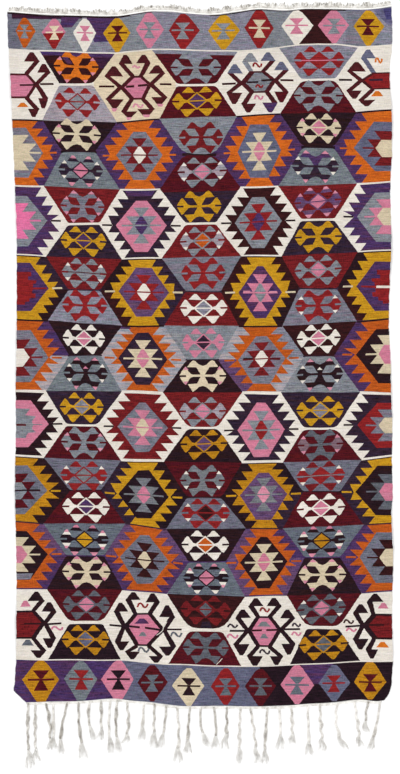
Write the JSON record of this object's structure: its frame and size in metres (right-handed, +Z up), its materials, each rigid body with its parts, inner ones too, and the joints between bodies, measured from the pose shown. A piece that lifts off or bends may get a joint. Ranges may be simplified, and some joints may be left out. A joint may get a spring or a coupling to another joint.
{
  "type": "kilim rug",
  "caption": "Long flat-woven wool rug with scalloped edges, a twined end and a loose fringe, lying flat on a floor.",
  "frame": {"origin": "middle of the rug's box on the floor under it", "axes": "+Y along the rug's length towards the short cut fringe, +X across its width, +Z up out of its face"},
  "size_m": [1.1949, 2.3869, 0.0094],
  "materials": {
    "kilim_wool": "matt flat-woven wool in many colours",
    "warp_cotton": "matt undyed twisted warp"
  },
  "bodies": {
    "root": {"kilim_field": "kilim_wool", "fringe_bottom": "warp_cotton", "fringe_top": "warp_cotton"}
  },
  "joints": []
}
